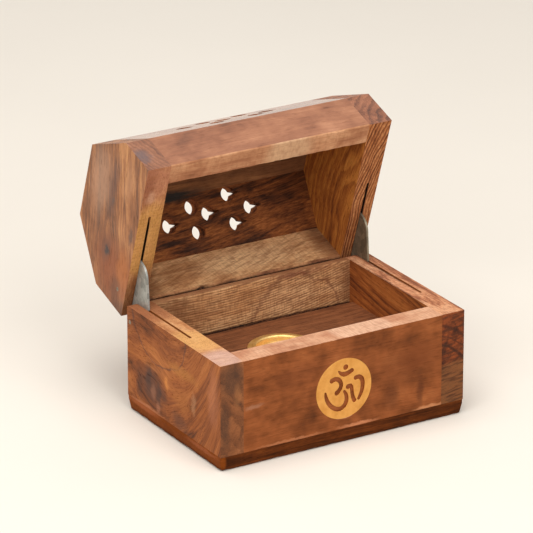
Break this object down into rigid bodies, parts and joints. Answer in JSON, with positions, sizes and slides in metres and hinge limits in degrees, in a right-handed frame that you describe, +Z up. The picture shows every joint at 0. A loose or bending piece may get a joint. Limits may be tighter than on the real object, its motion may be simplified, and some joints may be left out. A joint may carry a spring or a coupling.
{
  "type": "incense box",
  "caption": "Chest-shaped wooden incense box with a brass cone dish on its inside floor, a brass inlay on the front and a faceted pierced lid that swings back on steel plates to a stop.",
  "frame": {"origin": "centre of the outside footprint, on the underside", "axes": "+X to the right along the length, +Y to the back, +Z up; the lid is stored open on its stop"},
  "size_m": [0.1014, 0.1003, 0.1025],
  "materials": {
    "end_wood": "hand-sanded, waxed satin",
    "front_wood": "hand-sanded, waxed satin",
    "back_wood": "hand-sanded, waxed satin",
    "floor_wood": "hand-sanded, waxed satin",
    "lid_end_wood": "hand-sanded, waxed satin",
    "slope_wood": "hand-sanded, waxed satin",
    "dish_brass": "polished",
    "disc_brass": "satin",
    "plate_steel": "dull galvanised sheet",
    "nail_steel": "dull"
  },
  "bodies": {
    "base": {"base_left_end": "end_wood", "base_right_end": "end_wood", "base_front_board": "front_wood", "base_back_board": "back_wood", "bottom_board": "floor_wood", "floor_panel": "floor_wood", "cone_dish": "dish_brass", "front_disc": "disc_brass", "pivot_nail_left": "nail_steel", "pivot_nail_right": "nail_steel"},
    "lid": {"lid_left_end": "lid_end_wood", "lid_right_end": "lid_end_wood", "lid_front_wall": "front_wood", "lid_front_slope": "slope_wood", "lid_top_board": "slope_wood", "lid_back_slope": "slope_wood", "lid_back_wall": "back_wood", "hinge_plate_left": "plate_steel", "hinge_plate_right": "plate_steel", "lid_nail_left": "nail_steel", "lid_nail_right": "nail_steel"}
  },
  "joints": [
    {"name": "lid_hinge", "type": "hinge", "parent": "base", "child": "lid", "pos_m": [0, 0.0311, 0.0345], "axis": [1, 0, 0], "range_deg": [0, 71.4]}
  ]
}
